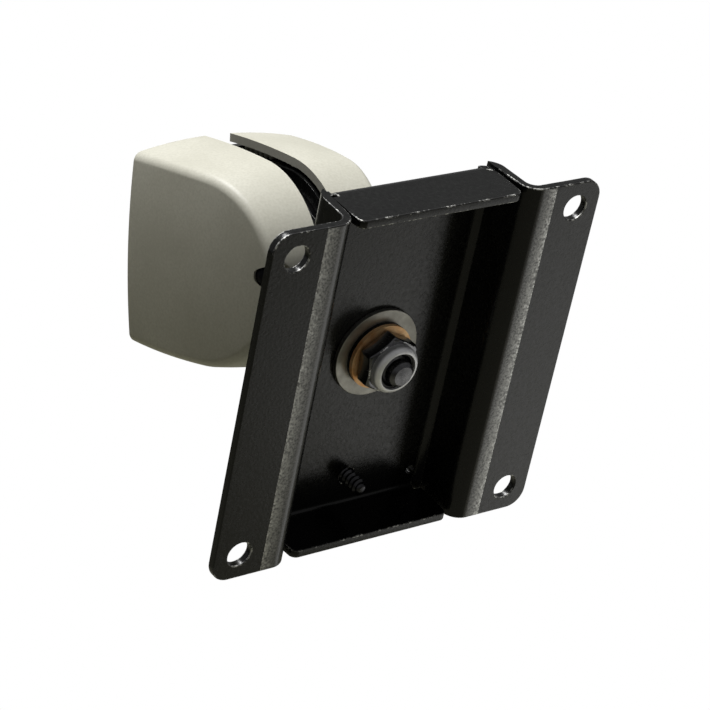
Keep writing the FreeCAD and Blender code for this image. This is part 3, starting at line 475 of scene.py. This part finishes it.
def makeLockScrew():
    screw = {"node": "lock_screw", "name": "lockScrew", "length": 8.0, "core": 1.5, "sides": 48,
             "dome": 0.9, "domeRings": 5, "chamfer": 0.4, "crest": 2.0, "sink": 0.15, "flank": 0.52,
             "start": 0.25, "pitch": 1.35, "turns": 5, "steps": 40, "smooth": 35, "play": 0.01}
    low, high = (Vector(corner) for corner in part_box(screw["node"]))
    half = screw["length"] / 2 * mm
    deselectAll()
    bpy.ops.mesh.primitive_cylinder_add(vertices=screw["sides"], radius=screw["core"] * mm, depth=2 * half)
    core = bpy.context.object
    core.name = screw["name"]
    for end, width, rings in ((half, screw["dome"], screw["domeRings"]), (-half, screw["chamfer"], 1)):
        makeActive(core)
        bpy.ops.object.mode_set(mode="EDIT")
        bpy.ops.mesh.select_mode(type="EDGE")
        bpy.ops.mesh.select_all(action="DESELECT")
        bpy.ops.object.mode_set(mode="OBJECT")
        for edge in core.data.edges:
            heights = [core.data.vertices[k].co.z for k in edge.vertices]
            edge.select = all(abs(height - end) < screw["play"] * mm for height in heights)
        bpy.ops.object.mode_set(mode="EDIT")
        bpy.ops.mesh.bevel(offset=width * mm, segments=rings, profile=0.5, affect="EDGES")
        bpy.ops.object.mode_set(mode="OBJECT")
    deselectAll()
    bpy.ops.mesh.primitive_circle_add(vertices=3, radius=mm)
    thread = bpy.context.object
    root, foot, flank = (screw["core"] - screw["sink"]) * mm, -half + screw["start"] * mm, screw["flank"] * mm
    profile = ((root, foot), (screw["crest"] * mm, foot + flank), (root, foot + 2 * flank))
    for vertex, (radius, height) in zip(thread.data.vertices, profile):
        vertex.co = (radius, 0, height)
    applyModifier(thread, "SCREW", axis="Z", angle=2 * math.pi, screw_offset=screw["pitch"] * mm,
                  iterations=screw["turns"], steps=screw["steps"], render_steps=screw["steps"])
    makeActive(thread)
    bpy.ops.object.mode_set(mode="EDIT")
    bpy.ops.mesh.select_all(action="SELECT")
    bpy.ops.mesh.remove_doubles(threshold=0.001 * mm)
    bpy.ops.mesh.fill_holes(sides=0)
    bpy.ops.mesh.select_all(action="SELECT")
    bpy.ops.mesh.normals_make_consistent(inside=False)
    bpy.ops.object.mode_set(mode="OBJECT")
    applyModifier(core, "BOOLEAN", operation="UNION", object=thread, solver="EXACT")
    bpy.data.objects.remove(thread)
    turn = pivotAxis.to_track_quat("Z", "Y").to_matrix().to_4x4()
    core.matrix_world = Matrix.Translation((low + high) / 2) @ turn
    makeActive(core)
    bpy.ops.object.transform_apply(location=True, rotation=True, scale=True)
    bpy.ops.object.shade_smooth_by_angle(angle=math.radians(screw["smooth"]))
    core.data.materials.append(looks["screw"])
    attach(core, "plate")
    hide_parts(screw["node"])


makeLockScrew()
print("lock screw threaded")


# floor, light and camera

def makeStage():
    stage = {"size": 8.0, "level": -0.5, "colour": "#AEAC98"}
    deselectAll()
    bpy.ops.mesh.primitive_plane_add(size=stage["size"], location=(0, 0, stage["level"]))
    floor = bpy.context.object
    floor.name = "studioFloor"
    bpy.ops.object.transform_apply(location=True, rotation=True, scale=True)
    material, tree, shader = startMaterial("paleStudioPaper", Roughness=0.9,
                                           Base_Color=linear(stage["colour"]))
    rays = addNode(tree, "ShaderNodeLightPath")
    white = addNode(tree, "ShaderNodeEmission", inputs={"Color": linear("#FFFFFF"), "Strength": 1.0})
    mix = addNode(tree, "ShaderNodeMixShader", inputs={
        "Fac": rays.outputs["Is Camera Ray"], 1: shader.outputs["BSDF"], 2: white.outputs["Emission"]})
    output = next(node for node in tree.nodes if node.type == "OUTPUT_MATERIAL")
    tree.links.new(mix.outputs["Shader"], output.inputs["Surface"])
    floor.data.materials.append(material)


def makeWorld():
    sky = {"light": 0.036, "glossShare": 0.22}  # what the world gives to surfaces, and to reflections
    world = bpy.data.worlds.new("studioWorld")
    bpy.context.scene.world = world
    world.use_nodes = True
    tree = world.node_tree
    background = next(node for node in tree.nodes if node.type == "BACKGROUND")
    background.inputs["Color"].default_value = linear("#FFFFFF")
    rays = addNode(tree, "ShaderNodeLightPath")
    gloss = addNode(tree, "ShaderNodeMath", {"operation": "MULTIPLY"},
                    {0: rays.outputs["Is Glossy Ray"], 1: sky["glossShare"]})
    seen = addNode(tree, "ShaderNodeMath", {"operation": "MAXIMUM"},
                   {0: rays.outputs["Is Camera Ray"], 1: gloss.outputs[0]})
    through = addNode(tree, "ShaderNodeMath", {"operation": "MAXIMUM"},
                      {0: seen.outputs[0], 1: rays.outputs["Is Transmission Ray"]})
    strength = addNode(tree, "ShaderNodeMapRange",
                       inputs={"Value": through.outputs[0], "To Min": sky["light"], "To Max": 1.0})
    tree.links.new(strength.outputs["Result"], background.inputs["Strength"])


def makeLamps():
    lamps = {
        "keyAbove": {"place": (-0.1, 0.16, 1.08), "size": (0.36, 0.36), "power": 16.2},
        "lowFront": {"place": (0.51, -0.29, -0.38), "size": (0.36, 0.34), "power": 0.46},
    }
    aim = Vector((0, -0.04, 0))
    for name, lamp in lamps.items():
        place = Vector(lamp["place"])
        deselectAll()
        bpy.ops.object.light_add(type="AREA", location=place,
                                 rotation=(aim - place).to_track_quat("-Z", "Y").to_euler())
        light = bpy.context.object
        light.name = name
        light.data.shape = "RECTANGLE"
        light.data.size, light.data.size_y = lamp["size"]
        light.data.energy = lamp["power"]
        light.visible_camera = False


def makeCamera():
    shot = {"place": (-0.366255, -0.52579, 0.157791), "right": (0.795325, -0.604333, 0.047264),
            "up": (0.132477, 0.249358, 0.959305), "lens": 139.64, "sensor": 36.0, "nearest": 0.01}
    right, up = Vector(shot["right"]), Vector(shot["up"])
    turn = Matrix((right, up, right.cross(up))).transposed()
    deselectAll()
    bpy.ops.object.camera_add(location=shot["place"], rotation=turn.to_euler())
    camera = bpy.context.object
    camera.data.sensor_width = shot["sensor"]
    camera.data.lens = shot["lens"]
    camera.data.clip_start = shot["nearest"]
    bpy.context.scene.camera = camera


makeStage()
makeWorld()
makeLamps()
makeCamera()
bpy.context.scene.view_settings.view_transform = "Standard"
print("stage set")
